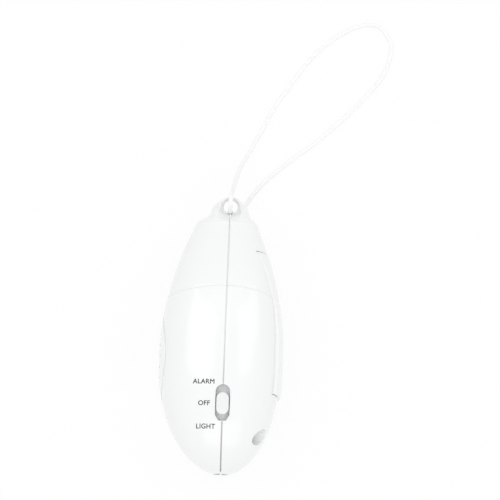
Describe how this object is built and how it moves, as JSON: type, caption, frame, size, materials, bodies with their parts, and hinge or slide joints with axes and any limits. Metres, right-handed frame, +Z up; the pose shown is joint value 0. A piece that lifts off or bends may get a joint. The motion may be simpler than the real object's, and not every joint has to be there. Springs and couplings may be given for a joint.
{
  "type": "door guard alarm",
  "caption": "Egg-shaped hanging door alarm and torch in two glossy white shells, with a slide switch, siren grille, battery cover and cord loop.",
  "frame": {"origin": "middle of the device's lowest level, with the device lying on one seam side and the cord left out of the measure", "axes": "+X from the front shell with the siren grille to the rear shell with the battery cover, +Y along the body from the torch tip to the cord eye, +Z up out of the side with the slide switch"},
  "size_m": [0.0878, 0.186, 0.0414],
  "materials": {
    "white_shell": "glossy white moulding",
    "white_knob": "satin white moulding",
    "black_plastic": "matt black",
    "plated_steel": "plated steel",
    "brown_base": "pressed brown board",
    "brass_sheet": "thin brass",
    "red_insulation": "red wire cover",
    "yellow_insulation": "yellow wire cover",
    "black_insulation": "black wire cover",
    "green_board": "green solder mask",
    "copper_wire": "lacquered copper winding",
    "tan_coating": "tan coating",
    "white_ceramic": "silvered ceramic",
    "clear_lamp": "water-clear lamp body",
    "cell_sleeve": "plain sleeve",
    "white_cord": "fine braided cord"
  },
  "bodies": {
    "case": {"front_shell": "white_shell", "rear_shell": "white_shell", "siren_grille": "white_shell", "switch_frame": "plated_steel", "switch_base": "brown_base", "switch_terminal_1": "brass_sheet", "switch_terminal_2": "brass_sheet", "switch_terminal_3": "brass_sheet", "switch_terminal_4": "brass_sheet", "switch_wire_1": "red_insulation", "switch_wire_2": "yellow_insulation", "switch_wire_3": "black_insulation", "main_board": "green_board", "board_screw_1": "plated_steel", "board_screw_2": "plated_steel", "sound_chip": "black_plastic", "coil_core": "black_plastic", "coil_winding": "copper_wire", "drive_transistor": "black_plastic", "storage_capacitor": "black_plastic", "resistor_1": "tan_coating", "resistor_2": "tan_coating", "sensor_can": "plated_steel", "sensor_base": "black_plastic", "sensor_spring": "brass_sheet", "sensor_pin": "plated_steel", "siren_disc": "brass_sheet", "siren_crystal": "white_ceramic", "siren_wire_1": "black_insulation", "siren_wire_2": "red_insulation", "lamp_led": "clear_lamp", "lamp_lead_1": "plated_steel", "lamp_lead_2": "plated_steel", "battery_1": "cell_sleeve", "battery_2": "cell_sleeve", "bridge_contact": "plated_steel", "bridge_spring": "plated_steel", "positive_contact": "plated_steel", "negative_contact": "plated_steel", "negative_spring": "plated_steel", "battery_wire_1": "red_insulation", "battery_wire_2": "black_insulation", "case_screw_1": "plated_steel", "case_screw_2": "plated_steel", "bay_screw": "plated_steel", "cord_loop": "white_cord", "cord_knot": "white_cord"},
    "cover": {"battery_cover": "white_shell"},
    "slider": {"switch_knob": "white_knob", "switch_lever": "black_plastic"}
  },
  "joints": [
    {"name": "cover_swing", "type": "hinge", "parent": "case", "child": "cover", "pos_m": [0.0167, 0.0318, 0.0205], "axis": [0, 0, 1], "range_deg": [0, 70]},
    {"name": "switch_slide", "type": "slide", "parent": "case", "child": "slider", "axis": [0, 0.9802, 0.198], "range_m": [-0.002, 0.002]}
  ]
}
